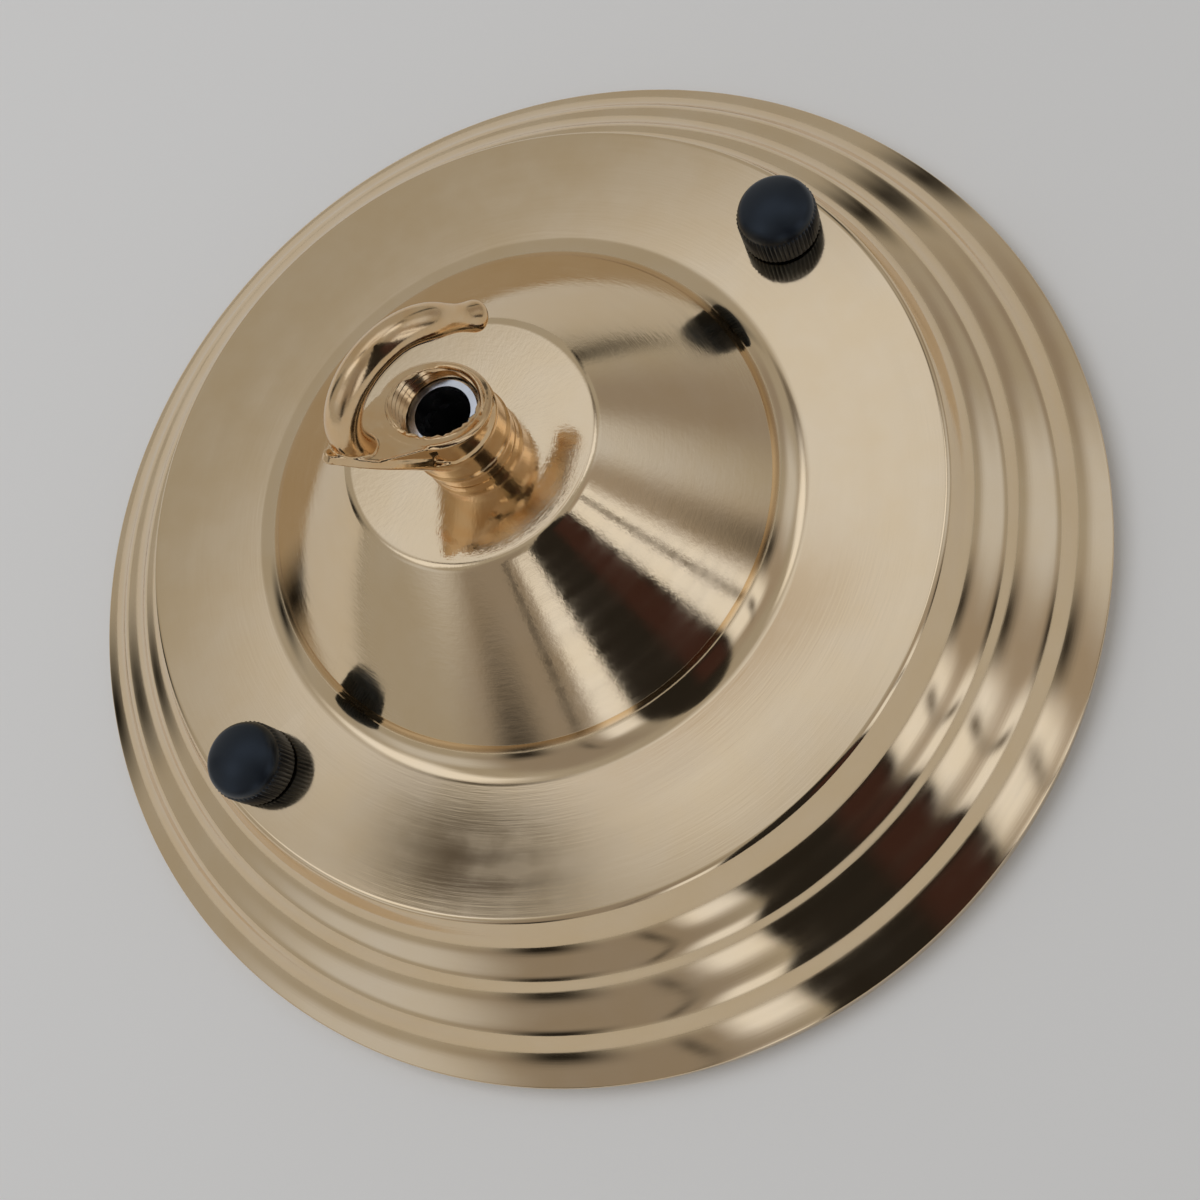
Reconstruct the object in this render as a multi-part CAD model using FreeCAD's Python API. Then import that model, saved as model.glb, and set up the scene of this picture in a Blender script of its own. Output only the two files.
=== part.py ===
import FreeCAD, Part
import math
import os

# Ceiling rose in millimetres: a stepped pressed canopy, a cast open hook on a hollow nipple,
# and a slotted strap whose studs carry the two thumb nuts.
# The origin is the centre of the rim, on the ceiling; +Z points away from the ceiling.
# X runs through both studs.

# Canopy, pressed from sheet: each step is a tread inwards and a rise away from the ceiling
SHEET = 0.8
RIM_RADIUS = 75.0
LIP_HEIGHT = 3.3
FIRST_TREAD = 6.4
FIRST_RISE = 5.7
SECOND_TREAD = 6.5
SECOND_RISE = 4.9
THIRD_TREAD = 4.9
THIRD_RISE = 3.8
STEP_SWING = 38.0
WALL_LEAN = 1.6
WALL_RISE = 3.6
PLATE_EDGE_ROUND = 1.0
COVE_RADIUS = 4.9
COVE_SWEEP = 70.0
CONE_FOOT_RADIUS = 34.2
CONE_RISE = 16.5
TOP_RADIUS = 16.2
TOP_EDGE_ROUND = 2.0

# Hollow nipple, its nut and its toothed washer
NIPPLE_RADIUS = 4.95
NIPPLE_BORE_RADIUS = 3.5
NIPPLE_CHAMFER = 0.65
NIPPLE_RECESS = 1.6
NIPPLE_TAIL = 2.5
NIPPLE_HOLE_GAP = 0.25
THREAD_GAP = 0.05
NIPPLE_NUT_FLATS = 14.0
NIPPLE_NUT_HEIGHT = 3.5
NIPPLE_NUT_CHAMFER = 0.5
TOOTHED_WASHER_RADIUS = 9.0
TOOTHED_WASHER_THICKNESS = 0.9
WASHER_TEETH = 12
WASHER_TOOTH_DEPTH = 1.6
WASHER_NOTCH_WIDTH = 1.8

# Cast hook: ribbed stem with a tapered boss, a leaf that rises from the boss, and an open ring on the leaf
HOOK_TURN = 177.5
STEM_RADIUS = 6.1
STEM_HEIGHT = 5.2
STEM_GROOVES = 2
STEM_GROOVE_DEPTH = 0.5
STEM_CREST = 0.5
BOSS_RADIUS = 5.6
BOSS_HEIGHT = 4.4
HOOK_MOUTH_CHAMFER = 0.4
LEAF_FOOT = 4.0
LEAF_TILT = 46.5
LEAF_LENGTH = 12.1
LEAF_FOOT_HALF_WIDTH = 5.0
LEAF_MIDDLE_LENGTH = 6.5
LEAF_MIDDLE_HALF_WIDTH = 3.3
LEAF_TIP_RADIUS = 0.8
LEAF_EDGE = 1.2
KEEL_FOOT_ANGLE = 25.0
RING_RADIUS = 9.6
RING_LIFT = 6.1
RING_START = 78.0
RING_END = 177.0
RING_SECTIONS = 4
WIRE_RADIUS = 2.08
CROWN_BEND_RADIUS = 7.7
CROWN_SWEEP = 53.0
CROWN_SECTIONS = 2
ARM_TAIL = 6.8
ARM_NECK_RADIUS = 1.65
ARM_TIP_RADIUS = 1.75
ARM_TIP_ROUND = 0.5

# Thumb nuts: knurled below, domed above
STUD_INSET = 5.85
THUMB_NECK_RADIUS = 3.7
THUMB_NECK_HEIGHT = 0.35
THUMB_RADIUS = 5.3
THUMB_KNURL_HEIGHT = 4.2
THUMB_DOME_RISE = 2.7
THUMB_SHOULDER_ROUND = 1.9
THUMB_EDGE_CHAMFER = 0.3
THUMB_TEETH = 54
THUMB_TOOTH_DEPTH = 0.25
THUMB_TOOTH_BITE = 0.1
THUMB_BORE_GAP = 0.05
THUMB_SEAT_GAP = 0.05
THUMB_BORE_DEPTH = 5.2

# Hexagon nuts
NUT_SIDES = 6
NUT_CHAMFER_ANGLE = 30.0

# Studs: pan-headed screws up through the strap, each held by a nut
STUD_RADIUS = 2.0
STUD_GRIP = 4.2
STUD_HEAD_RADIUS = 4.0
STUD_HEAD_HEIGHT = 2.4
STUD_HEAD_RIM = 0.8
STUD_HEAD_CEILING_GAP = 0.8
STUD_HOLE_GAP = 0.25
STUD_DRIVE_LENGTH = 5.0
STUD_DRIVE_WIDTH = 1.0
STUD_DRIVE_DEPTH = 1.1
STUD_NUT_FLATS = 7.0
STUD_NUT_HEIGHT = 3.2
STUD_NUT_CHAMFER = 0.3

# Strap, folded from steel strip
STRAP_THICKNESS = 1.5
STRAP_WIDTH = 20.0
STRAP_END_MARGIN = 8.0
STRAP_END_ROUND = 4.0
STRAP_FOLD_INSET = 8.0
STRAP_FOLD_RUN = 3.0
STRAP_FOLD_RADIUS = 1.6
SLOT_LENGTH = 14.0
SLOT_WIDTH = 5.2
SLOT_FOLD_MARGIN = 3.5
CABLE_HOLE_RADIUS = 5.5

# Earth terminal on the strap
EARTH_OFFSET = 13.6
EARTH_SCREW_RADIUS = 2.0
EARTH_HEAD_RADIUS = 3.5
EARTH_HEAD_HEIGHT = 2.2
EARTH_HEAD_RIM = 0.7
EARTH_SLOT_WIDTH = 1.0
EARTH_SLOT_DEPTH = 1.1
EARTH_CUP_RADIUS = 4.6
EARTH_CUP_THICKNESS = 0.7
EARTH_CUP_WALL = 1.2

# Radii and heights that follow from the sizes above
FIRST_STEP = (RIM_RADIUS - FIRST_TREAD, LIP_HEIGHT + FIRST_RISE)
SECOND_STEP = (FIRST_STEP[0] - SECOND_TREAD, FIRST_STEP[1] + SECOND_RISE)
WALL_FOOT = (SECOND_STEP[0] - THIRD_TREAD, SECOND_STEP[1] + THIRD_RISE)
PLATE_RADIUS = WALL_FOOT[0] - WALL_LEAN
PLATE_HEIGHT = WALL_FOOT[1] + WALL_RISE
CONE_FOOT_HEIGHT = PLATE_HEIGHT + COVE_RADIUS * (1 - math.cos(math.radians(COVE_SWEEP)))
TOP_HEIGHT = CONE_FOOT_HEIGHT + CONE_RISE
STUD_REACH = PLATE_RADIUS - STUD_INSET
HOOK_FACE = TOP_HEIGHT + STEM_HEIGHT + BOSS_HEIGHT
NIPPLE_TOP = HOOK_FACE - NIPPLE_RECESS
WASHER_TOP = TOP_HEIGHT - SHEET
NIPPLE_NUT_TOP = WASHER_TOP - TOOTHED_WASHER_THICKNESS
NIPPLE_BOTTOM = NIPPLE_NUT_TOP - NIPPLE_NUT_HEIGHT - NIPPLE_TAIL
STRAP_LIFT = STUD_HEAD_HEIGHT + STUD_HEAD_CEILING_GAP
STRAP_TOP = STRAP_LIFT + STRAP_THICKNESS
STRAP_END = STUD_REACH + STRAP_END_MARGIN
FOLD_TOP_X = STUD_REACH - STRAP_FOLD_INSET
FOLD_FOOT_X = FOLD_TOP_X - STRAP_FOLD_RUN
SLOT_X = FOLD_FOOT_X - SLOT_FOLD_MARGIN - SLOT_LENGTH / 2
CUT_MARGIN = 1.0

UP = FreeCAD.Vector(0, 0, 1)
ORIGIN = FreeCAD.Vector(0, 0, 0)


def point(radius, height):
    """Point of a section in the XZ plane."""
    return FreeCAD.Vector(radius, 0, height)


def line(start, end):
    return Part.makeLine(point(*start), point(*end))


def arc(start, middle, end):
    return Part.Arc(point(*start), point(*middle), point(*end)).toShape()


def turned(edges):
    """Solid of revolution about Z from a closed section."""
    return Part.Face(Part.Wire(edges)).revolve(ORIGIN, UP, 360)


def closed_section(corners):
    return [line(corners[i], corners[(i + 1) % len(corners)]) for i in range(len(corners))]


def cylinder(radius, bottom, top, x=0.0):
    return Part.makeCylinder(radius, top - bottom, FreeCAD.Vector(x, 0, bottom), UP)


def step_curve(start, end):
    """Ogee from one step to the next: convex first, then hollow, meeting at the middle."""
    run = end[0] - start[0]
    rise = end[1] - start[1]
    sagitta_share = math.tan(math.radians(STEP_SWING / 2)) / 4
    bulge = (rise * sagitta_share, -run * sagitta_share)
    middle = (start[0] + run / 2, start[1] + rise / 2)
    convex = (start[0] + run / 4 + bulge[0], start[1] + rise / 4 + bulge[1])
    hollow = (middle[0] + run / 4 - bulge[0], middle[1] + rise / 4 - bulge[1])
    return [arc(start, convex, middle), arc(middle, hollow, end)]


def rounded_corner(before, corner, after, radius):
    """End of the first line, arc round the corner, and start of the second line."""
    to_before = (before[0] - corner[0], before[1] - corner[1])
    to_after = (after[0] - corner[0], after[1] - corner[1])
    angle_before = math.atan2(to_before[1], to_before[0])
    angle_after = math.atan2(to_after[1], to_after[0])
    half = abs(math.remainder(angle_after - angle_before, 2 * math.pi)) / 2
    setback = radius / math.tan(half)
    bisector = (math.cos(angle_before) + math.cos(angle_after),
                math.sin(angle_before) + math.sin(angle_after))
    length = math.hypot(*bisector)
    to_arc = radius / math.sin(half) - radius
    first = (corner[0] + setback * math.cos(angle_before), corner[1] + setback * math.sin(angle_before))
    last = (corner[0] + setback * math.cos(angle_after), corner[1] + setback * math.sin(angle_after))
    middle = (corner[0] + to_arc * bisector[0] / length, corner[1] + to_arc * bisector[1] / length)
    return first, middle, last


def canopy():
    """Stepped bell: vertical lip, three ogee steps, flat plate, cove, cone and flat top."""
    lip_top = (RIM_RADIUS, LIP_HEIGHT)
    plate_corner = (PLATE_RADIUS, PLATE_HEIGHT)
    cove_foot = (CONE_FOOT_RADIUS + COVE_RADIUS * math.sin(math.radians(COVE_SWEEP)), PLATE_HEIGHT)
    cove_half = math.radians(COVE_SWEEP / 2)
    cove_middle = (cove_foot[0] - COVE_RADIUS * math.sin(cove_half),
                   PLATE_HEIGHT + COVE_RADIUS * (1 - math.cos(cove_half)))
    cone_foot = (CONE_FOOT_RADIUS, CONE_FOOT_HEIGHT)
    top_corner = (TOP_RADIUS, TOP_HEIGHT)
    hole_edge = (NIPPLE_RADIUS + NIPPLE_HOLE_GAP, TOP_HEIGHT)
    plate_round = rounded_corner(WALL_FOOT, plate_corner, cove_foot, PLATE_EDGE_ROUND)
    top_round = rounded_corner(cone_foot, top_corner, hole_edge, TOP_EDGE_ROUND)
    outside = [line((RIM_RADIUS, 0), lip_top)]
    outside += step_curve(lip_top, FIRST_STEP)
    outside += step_curve(FIRST_STEP, SECOND_STEP)
    outside += step_curve(SECOND_STEP, WALL_FOOT)
    outside += [line(WALL_FOOT, plate_round[0]), arc(*plate_round), line(plate_round[2], cove_foot)]
    outside += [arc(cove_foot, cove_middle, cone_foot)]
    outside += [line(cone_foot, top_round[0]), arc(*top_round), line(top_round[2], hole_edge)]
    section = Part.Wire(outside).makeOffset2D(SHEET, 0, True, True)
    bell = section.revolve(ORIGIN, UP, 360)
    for side in (-1, 1):
        stud_hole = cylinder(STUD_RADIUS + STUD_HOLE_GAP, PLATE_HEIGHT - SHEET - CUT_MARGIN,
                             PLATE_HEIGHT + CUT_MARGIN, side * STUD_REACH)
        bell = bell.cut(stud_hole)
    return bell


def nipple():
    """Hollow threaded tube with both ends chamfered."""
    narrow = NIPPLE_RADIUS - NIPPLE_CHAMFER
    return turned(closed_section([
        (NIPPLE_BORE_RADIUS, NIPPLE_BOTTOM),
        (narrow, NIPPLE_BOTTOM),
        (NIPPLE_RADIUS, NIPPLE_BOTTOM + NIPPLE_CHAMFER),
        (NIPPLE_RADIUS, NIPPLE_TOP - NIPPLE_CHAMFER),
        (narrow, NIPPLE_TOP),
        (NIPPLE_BORE_RADIUS, NIPPLE_TOP),
    ]))


def hex_nut(flats, height, bore_radius, chamfer):
    """Hexagon nut standing on Z = 0, with its corners turned off at both ends."""
    corner = flats / 2 / math.cos(math.pi / NUT_SIDES)
    corners = []
    for index in range(NUT_SIDES):
        angle = 2 * math.pi * index / NUT_SIDES
        corners.append(FreeCAD.Vector(corner * math.cos(angle), corner * math.sin(angle), 0))
    body = Part.Face(Part.makePolygon(corners + corners[:1])).extrude(UP * height)
    face_radius = corner - chamfer / math.tan(math.radians(NUT_CHAMFER_ANGLE))
    blank = turned(closed_section([
        (0, 0), (face_radius, 0), (corner, chamfer),
        (corner, height - chamfer), (face_radius, height), (0, height),
    ]))
    return body.common(blank).cut(cylinder(bore_radius, -CUT_MARGIN, height + CUT_MARGIN))


def nipple_nut():
    nut = hex_nut(NIPPLE_NUT_FLATS, NIPPLE_NUT_HEIGHT, NIPPLE_RADIUS + THREAD_GAP, NIPPLE_NUT_CHAMFER)
    nut.translate(UP * (NIPPLE_NUT_TOP - NIPPLE_NUT_HEIGHT))
    return nut


def toothed_washer():
    """Lock washer with teeth around its outer edge."""
    ring = cylinder(TOOTHED_WASHER_RADIUS, NIPPLE_NUT_TOP, WASHER_TOP)
    ring = ring.cut(cylinder(NIPPLE_RADIUS + NIPPLE_HOLE_GAP, NIPPLE_NUT_TOP - CUT_MARGIN,
                             WASHER_TOP + CUT_MARGIN))
    notch_height = TOOTHED_WASHER_THICKNESS + 2 * CUT_MARGIN
    notch_length = WASHER_TOOTH_DEPTH + CUT_MARGIN
    corner = FreeCAD.Vector(TOOTHED_WASHER_RADIUS - WASHER_TOOTH_DEPTH, -WASHER_NOTCH_WIDTH / 2,
                            NIPPLE_NUT_TOP - CUT_MARGIN)
    notches = []
    for index in range(WASHER_TEETH):
        notch = Part.makeBox(notch_length, WASHER_NOTCH_WIDTH, notch_height, corner)
        notch.rotate(ORIGIN, UP, 360 * index / WASHER_TEETH)
        notches.append(notch)
    return ring.cut(notches)


def hook_stem():
    """Round stem with narrow ribs between hollow grooves, under a boss that tapers to the hook's face."""
    spacing = STEM_HEIGHT / STEM_GROOVES
    edges = []
    height = TOP_HEIGHT
    for _ in range(STEM_GROOVES):
        groove_start = (STEM_RADIUS, height + STEM_CREST)
        groove_end = (STEM_RADIUS, height + spacing)
        groove_middle = (STEM_RADIUS - STEM_GROOVE_DEPTH, (groove_start[1] + groove_end[1]) / 2)
        edges.append(line((STEM_RADIUS, height), groove_start))
        edges.append(arc(groove_start, groove_middle, groove_end))
        height += spacing
    edges.append(line((STEM_RADIUS, height), (BOSS_RADIUS, HOOK_FACE)))
    edges.append(line((BOSS_RADIUS, HOOK_FACE), (0, HOOK_FACE)))
    edges.append(line((0, HOOK_FACE), (0, TOP_HEIGHT)))
    edges.append(line((0, TOP_HEIGHT), (STEM_RADIUS, TOP_HEIGHT)))
    return turned(edges)


def closed_outline(corners, middles):
    """Closed wire of arcs from corner to corner through the given middles; None gives a straight edge."""
    edges = []
    for index, middle in enumerate(middles):
        start = corners[index]
        end = corners[(index + 1) % len(corners)]
        if middle is None:
            edges.append(Part.makeLine(start, end))
        else:
            edges.append(Part.Arc(start, middle, end).toShape())
    return Part.Wire(edges)


def hook_leaf():
    """Pointed leaf that rises from the boss, and the keel that joins its underside to the stem."""
    tilt = math.radians(LEAF_TILT)
    rise = FreeCAD.Vector(math.cos(tilt), 0, math.sin(tilt))
    across = FreeCAD.Vector(0, 1, 0)
    upward = rise.cross(across)
    foot = point(LEAF_FOOT, HOOK_FACE) - upward * LEAF_EDGE

    def on_leaf(length, half_width):
        return foot + rise * length + across * half_width

    shoulder = LEAF_LENGTH - LEAF_TIP_RADIUS
    leaf = closed_outline(
        [on_leaf(0, -LEAF_FOOT_HALF_WIDTH), on_leaf(shoulder, -LEAF_TIP_RADIUS),
         on_leaf(shoulder, LEAF_TIP_RADIUS), on_leaf(0, LEAF_FOOT_HALF_WIDTH)],
        [on_leaf(LEAF_MIDDLE_LENGTH, -LEAF_MIDDLE_HALF_WIDTH), on_leaf(LEAF_LENGTH, 0),
         on_leaf(LEAF_MIDDLE_LENGTH, LEAF_MIDDLE_HALF_WIDTH), None])

    def on_stem(degrees):
        angle = math.radians(degrees)
        return FreeCAD.Vector(STEM_RADIUS * math.cos(angle), STEM_RADIUS * math.sin(angle),
                              TOP_HEIGHT + STEM_HEIGHT)

    between = (90 + KEEL_FOOT_ANGLE) / 2
    stem = closed_outline(
        [on_stem(-90), on_stem(-KEEL_FOOT_ANGLE), on_stem(KEEL_FOOT_ANGLE), on_stem(90)],
        [on_stem(-between), on_stem(0), on_stem(between), None])
    keel = Part.makeLoft([stem, leaf], True, True)
    return keel.fuse(Part.Face(leaf).extrude(upward * LEAF_EDGE))


def bend(start, heading, radius, degrees, shares):
    """Places and headings at the given shares of a bend in the hook's plane."""
    places = []
    centre_x = start[0] - radius * math.sin(heading)
    centre_z = start[1] + radius * math.cos(heading)
    for share in shares:
        angle = heading + math.radians(degrees) * share
        places.append((centre_x + radius * math.sin(angle), centre_z - radius * math.cos(angle), angle))
    return places


def arm_stations():
    """Place, heading and radius of each round section of the ring, from inside the leaf to the tip."""
    heading = math.radians(RING_START)
    start = (RING_RADIUS * math.sin(heading), HOOK_FACE + RING_LIFT - RING_RADIUS * math.cos(heading))
    ring_shares = [(index + 1) / RING_SECTIONS for index in range(RING_SECTIONS)]
    crown_shares = [(index + 1) / CROWN_SECTIONS for index in range(CROWN_SECTIONS)]
    places = [start + (heading,)]
    places += bend(start, heading, RING_RADIUS, RING_END - RING_START, ring_shares)
    places += bend(places[-1][:2], places[-1][2], CROWN_BEND_RADIUS, CROWN_SWEEP, crown_shares)
    stations = [place + (WIRE_RADIUS,) for place in places]
    x, z, heading = places[-1]
    tail = ((ARM_TAIL - ARM_TIP_RADIUS, ARM_NECK_RADIUS), (ARM_TIP_RADIUS, ARM_TIP_RADIUS),
            (ARM_TIP_ROUND, ARM_TIP_RADIUS - ARM_TIP_ROUND))
    for advance, radius in tail:
        x += advance * math.cos(heading)
        z += advance * math.sin(heading)
        stations.append((x, z, heading, radius))
    return stations


def hook_arm():
    """Open ring of round section with a slightly swollen blunt tip."""
    sections = []
    for x, z, heading, radius in arm_stations():
        section = Part.Wire(Part.makeCircle(radius))
        turn = FreeCAD.Rotation(FreeCAD.Vector(0, 1, 0), 90 - math.degrees(heading))
        section.Placement = FreeCAD.Placement(point(x, z), turn)
        sections.append(section)
    return Part.makeLoft(sections, True, False)


def hook():
    """One casting: stem, boss, leaf and open ring, bored for the nipple."""
    casting = hook_stem().fuse([hook_leaf(), hook_arm()]).removeSplitter()
    bore_radius = NIPPLE_RADIUS + THREAD_GAP
    mouth_radius = bore_radius + HOOK_MOUTH_CHAMFER
    casting = casting.cut(turned(closed_section([
        (0, TOP_HEIGHT - CUT_MARGIN), (bore_radius, TOP_HEIGHT - CUT_MARGIN),
        (bore_radius, HOOK_FACE - HOOK_MOUTH_CHAMFER), (mouth_radius, HOOK_FACE),
        (mouth_radius, HOOK_FACE + RING_LIFT), (0, HOOK_FACE + RING_LIFT),
    ])))
    casting.rotate(ORIGIN, UP, HOOK_TURN)
    return casting


def thumb_nut_teeth(bottom, top):
    """Ring of straight knurl teeth, chamfered at both ends."""
    root = THUMB_RADIUS - THUMB_TOOTH_DEPTH - THUMB_TOOTH_BITE
    corners = []
    for index in range(2 * THUMB_TEETH):
        radius = root if index % 2 else THUMB_RADIUS
        angle = math.pi * index / THUMB_TEETH
        corners.append(FreeCAD.Vector(radius * math.cos(angle), radius * math.sin(angle), bottom))
    star = Part.Face(Part.makePolygon(corners + corners[:1])).extrude(UP * (top - bottom))
    face_radius = THUMB_RADIUS - THUMB_EDGE_CHAMFER
    widening = THUMB_EDGE_CHAMFER + CUT_MARGIN
    return star.common(turned(closed_section([
        (0, bottom), (face_radius, bottom), (face_radius + widening, bottom + widening),
        (face_radius + widening, top - widening), (face_radius, top), (0, top),
    ])))


def domed_top(radius, shoulder, apex):
    """Arc over the shoulder and arc over the crown, tangent to each other and to the side."""
    inset = radius - THUMB_SHOULDER_ROUND
    rise = apex - shoulder
    crown_radius = (rise ** 2 + inset ** 2 - THUMB_SHOULDER_ROUND ** 2) / (2 * (rise - THUMB_SHOULDER_ROUND))
    crown_half = math.atan2(inset, crown_radius - rise)

    def on_crown(angle):
        return (crown_radius * math.sin(angle), apex - crown_radius * (1 - math.cos(angle)))

    shoulder_angle = (math.pi / 2 - crown_half) / 2
    shoulder_middle = (inset + THUMB_SHOULDER_ROUND * math.cos(shoulder_angle),
                       shoulder + THUMB_SHOULDER_ROUND * math.sin(shoulder_angle))
    return [
        arc((radius, shoulder), shoulder_middle, on_crown(crown_half)),
        arc(on_crown(crown_half), on_crown(crown_half / 2), (0, apex)),
    ]


def thumb_nut(side):
    """Knurled nut with a domed top, a narrow neck below and a blind bore for the stud."""
    seat = PLATE_HEIGHT + THUMB_SEAT_GAP
    knurl_bottom = seat + THUMB_NECK_HEIGHT
    shoulder = knurl_bottom + THUMB_KNURL_HEIGHT
    apex = shoulder + THUMB_DOME_RISE
    root_radius = THUMB_RADIUS - THUMB_TOOTH_DEPTH
    section = [
        line((0, seat), (THUMB_NECK_RADIUS, seat)),
        line((THUMB_NECK_RADIUS, seat), (THUMB_NECK_RADIUS, knurl_bottom)),
        line((THUMB_NECK_RADIUS, knurl_bottom), (root_radius, knurl_bottom)),
        line((root_radius, knurl_bottom), (root_radius, shoulder)),
    ]
    section += domed_top(root_radius, shoulder, apex)
    section.append(line((0, apex), (0, seat)))
    nut = turned(section).fuse(thumb_nut_teeth(knurl_bottom, shoulder))
    nut = nut.cut(cylinder(STUD_RADIUS + THUMB_BORE_GAP, seat - CUT_MARGIN, seat + THUMB_BORE_DEPTH))
    nut.translate(FreeCAD.Vector(side * STUD_REACH, 0, 0))
    return nut


def pan_head(radius, rim, height):
    """Low rounded head standing on Z = 0: a short upright rim under a ball-shaped crown."""
    crown = height - rim
    ball_radius = (radius ** 2 + crown ** 2) / (2 * crown)
    half = math.asin(radius / ball_radius) / 2
    crown_middle = (ball_radius * math.sin(half), height - ball_radius * (1 - math.cos(half)))
    return turned([
        line((0, 0), (radius, 0)),
        line((radius, 0), (radius, rim)),
        arc((radius, rim), crown_middle, (0, height)),
        line((0, height), (0, 0)),
    ])


def stud(side):
    """Screw with its head under the strap's raised end and its shank inside the thumb nut."""
    head = pan_head(STUD_HEAD_RADIUS, STUD_HEAD_RIM, STUD_HEAD_HEIGHT)
    drive_corner = FreeCAD.Vector(-STUD_DRIVE_LENGTH / 2, -STUD_DRIVE_WIDTH / 2,
                                  STUD_HEAD_HEIGHT - STUD_DRIVE_DEPTH)
    for turn in (0, 90):
        drive = Part.makeBox(STUD_DRIVE_LENGTH, STUD_DRIVE_WIDTH, STUD_HEAD_HEIGHT, drive_corner)
        drive.rotate(ORIGIN, UP, turn)
        head = head.cut(drive)
    head.rotate(ORIGIN, FreeCAD.Vector(1, 0, 0), 180)
    head.translate(UP * STRAP_LIFT)
    screw = head.fuse(cylinder(STUD_RADIUS, STRAP_LIFT, PLATE_HEIGHT + STUD_GRIP)).removeSplitter()
    screw.translate(FreeCAD.Vector(side * STUD_REACH, 0, 0))
    return screw


def stud_nut(side):
    nut = hex_nut(STUD_NUT_FLATS, STUD_NUT_HEIGHT, STUD_RADIUS + THREAD_GAP, STUD_NUT_CHAMFER)
    nut.translate(FreeCAD.Vector(side * STUD_REACH, 0, STRAP_TOP))
    return nut


def strap_path():
    """Underside of the strap: flat on the ceiling, with both ends folded up to clear the heads."""
    corners = [(STRAP_END, STRAP_LIFT), (FOLD_TOP_X, STRAP_LIFT), (FOLD_FOOT_X, 0)]
    corners += [(-x, z) for x, z in reversed(corners)]
    edges = []
    start = corners[0]
    for index in range(1, len(corners) - 1):
        bend = STRAP_FOLD_RADIUS
        if corners[index][1] == 0:
            bend += STRAP_THICKNESS
        first, middle, last = rounded_corner(corners[index - 1], corners[index], corners[index + 1], bend)
        edges += [line(start, first), arc(first, middle, last)]
        start = last
    edges.append(line(start, corners[-1]))
    return Part.Wire(edges)


def slot_cutter(x):
    """Round-ended slot along X, through the strap."""
    half = (SLOT_LENGTH - SLOT_WIDTH) / 2
    top = STRAP_THICKNESS + CUT_MARGIN
    middle = Part.makeBox(2 * half, SLOT_WIDTH, top + CUT_MARGIN,
                          FreeCAD.Vector(x - half, -SLOT_WIDTH / 2, -CUT_MARGIN))
    ends = [cylinder(SLOT_WIDTH / 2, -CUT_MARGIN, top, x + shift) for shift in (-half, half)]
    return middle.fuse(ends).removeSplitter()


def strap():
    """Folded strip with rounded ends, stud holes, fixing slots and a cable hole."""
    section = strap_path().makeOffset2D(-STRAP_THICKNESS, 0, True, True)
    section.translate(FreeCAD.Vector(0, STRAP_WIDTH / 2, 0))
    strip = section.extrude(FreeCAD.Vector(0, -STRAP_WIDTH, 0))
    blank = Part.makeBox(2 * STRAP_END, STRAP_WIDTH, STRAP_TOP + 2 * CUT_MARGIN,
                         FreeCAD.Vector(-STRAP_END, -STRAP_WIDTH / 2, -CUT_MARGIN))
    upright = [edge for edge in blank.Edges if edge.BoundBox.ZLength > STRAP_TOP]
    strip = strip.common(blank.makeFillet(STRAP_END_ROUND, upright))
    strip = strip.cut(cylinder(CABLE_HOLE_RADIUS, -CUT_MARGIN, STRAP_TOP))
    strip = strip.cut(cylinder(EARTH_SCREW_RADIUS + THREAD_GAP, -CUT_MARGIN, STRAP_TOP, EARTH_OFFSET))
    for side in (-1, 1):
        strip = strip.cut(slot_cutter(side * SLOT_X))
        strip = strip.cut(cylinder(STUD_RADIUS + THREAD_GAP, 0, STRAP_TOP + CUT_MARGIN, side * STUD_REACH))
    return strip


def earth_cup():
    """Cup washer that keeps the earth wire under the screw head."""
    base = STRAP_THICKNESS
    floor_top = base + EARTH_CUP_THICKNESS
    inner = EARTH_CUP_RADIUS - EARTH_CUP_THICKNESS
    hole = EARTH_SCREW_RADIUS + STUD_HOLE_GAP
    cup = turned(closed_section([
        (hole, base), (EARTH_CUP_RADIUS, base), (EARTH_CUP_RADIUS, floor_top + EARTH_CUP_WALL),
        (inner, floor_top + EARTH_CUP_WALL), (inner, floor_top), (hole, floor_top),
    ]))
    cup.translate(FreeCAD.Vector(EARTH_OFFSET, 0, 0))
    return cup


def earth_screw():
    """Slotted screw through the cup washer into the strap."""
    head = pan_head(EARTH_HEAD_RADIUS, EARTH_HEAD_RIM, EARTH_HEAD_HEIGHT)
    groove = Part.makeBox(2 * EARTH_HEAD_RADIUS, EARTH_SLOT_WIDTH, EARTH_HEAD_HEIGHT,
                          FreeCAD.Vector(-EARTH_HEAD_RADIUS, -EARTH_SLOT_WIDTH / 2,
                                         EARTH_HEAD_HEIGHT - EARTH_SLOT_DEPTH))
    head = head.cut(groove)
    head.translate(UP * (STRAP_THICKNESS + EARTH_CUP_THICKNESS))
    shank = cylinder(EARTH_SCREW_RADIUS, 0, STRAP_THICKNESS + EARTH_CUP_THICKNESS)
    screw = head.fuse(shank).removeSplitter()
    screw.translate(FreeCAD.Vector(EARTH_OFFSET, 0, 0))
    return screw


def pieces():
    """Every piece of the rose by name."""
    built = {
        "canopy": canopy(),
        "hook": hook(),
        "nipple": nipple(),
        "nipple_nut": nipple_nut(),
        "toothed_washer": toothed_washer(),
        "strap": strap(),
        "earth_screw": earth_screw(),
        "earth_cup_washer": earth_cup(),
    }
    for name, side in (("left", -1), ("right", 1)):
        built["stud_" + name] = stud(side)
        built["stud_nut_" + name] = stud_nut(side)
        built["thumb_nut_" + name] = thumb_nut(side)
    return built


os.makedirs("parts", exist_ok=True)
for piece_name, shape in pieces().items():
    shape.exportStep("parts/" + piece_name + ".step")
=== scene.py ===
import bmesh
import bpy
import math
import random
from mathutils import Matrix, Vector


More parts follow.
